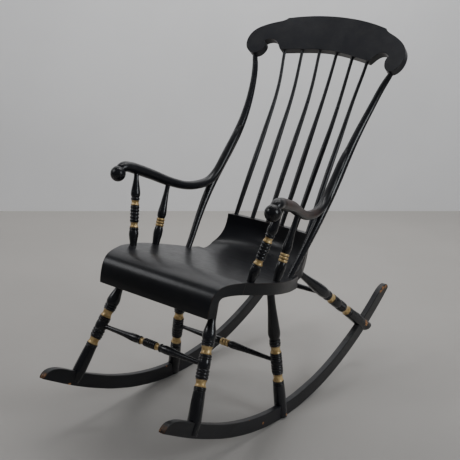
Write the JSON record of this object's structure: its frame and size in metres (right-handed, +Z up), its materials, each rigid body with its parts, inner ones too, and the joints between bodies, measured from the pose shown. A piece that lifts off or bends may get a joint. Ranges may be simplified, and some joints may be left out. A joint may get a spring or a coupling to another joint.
{
  "type": "spindle-back rocking chair",
  "caption": "Wooden rocking chair with a rolled seat, turned splayed legs on curved rockers, a spindle back with a shaped crest board, and arms ending in ball knobs.",
  "frame": {"origin": "centre of the bounding box in plan, on the floor under the rockers", "axes": "+Z up, -Y the way the sitter faces, +X the sitter's left; the chair stands at its balance"},
  "size_m": [0.5632, 1.224, 1.1386],
  "materials": {
    "black_painted_wood": "old satin black paint, gold paint in the turned coves, worn to brown wood on edges",
    "peg_wood": "dark painted wood"
  },
  "bodies": {
    "root": {"arm_left": "black_painted_wood", "arm_post_front_left": "black_painted_wood", "arm_post_front_right": "black_painted_wood", "arm_post_rear_left": "black_painted_wood", "arm_post_rear_right": "black_painted_wood", "arm_right": "black_painted_wood", "back_post_left": "black_painted_wood", "back_post_right": "black_painted_wood", "crest_rail": "black_painted_wood", "leg_front_left": "black_painted_wood", "leg_front_right": "black_painted_wood", "leg_middle_left": "black_painted_wood", "leg_middle_right": "black_painted_wood", "leg_rear_left": "black_painted_wood", "leg_rear_right": "black_painted_wood", "rocker_left": "black_painted_wood", "rocker_pegs": "peg_wood", "rocker_right": "black_painted_wood", "seat_board": "black_painted_wood", "seat_front_roll": "black_painted_wood", "seat_rear_roll": "black_painted_wood", "spindle_1": "black_painted_wood", "spindle_2": "black_painted_wood", "spindle_3": "black_painted_wood", "spindle_4": "black_painted_wood", "spindle_5": "black_painted_wood", "spindle_6": "black_painted_wood", "stretcher_front": "black_painted_wood", "stretcher_middle": "black_painted_wood", "stretcher_rear": "black_painted_wood"}
  },
  "joints": []
}
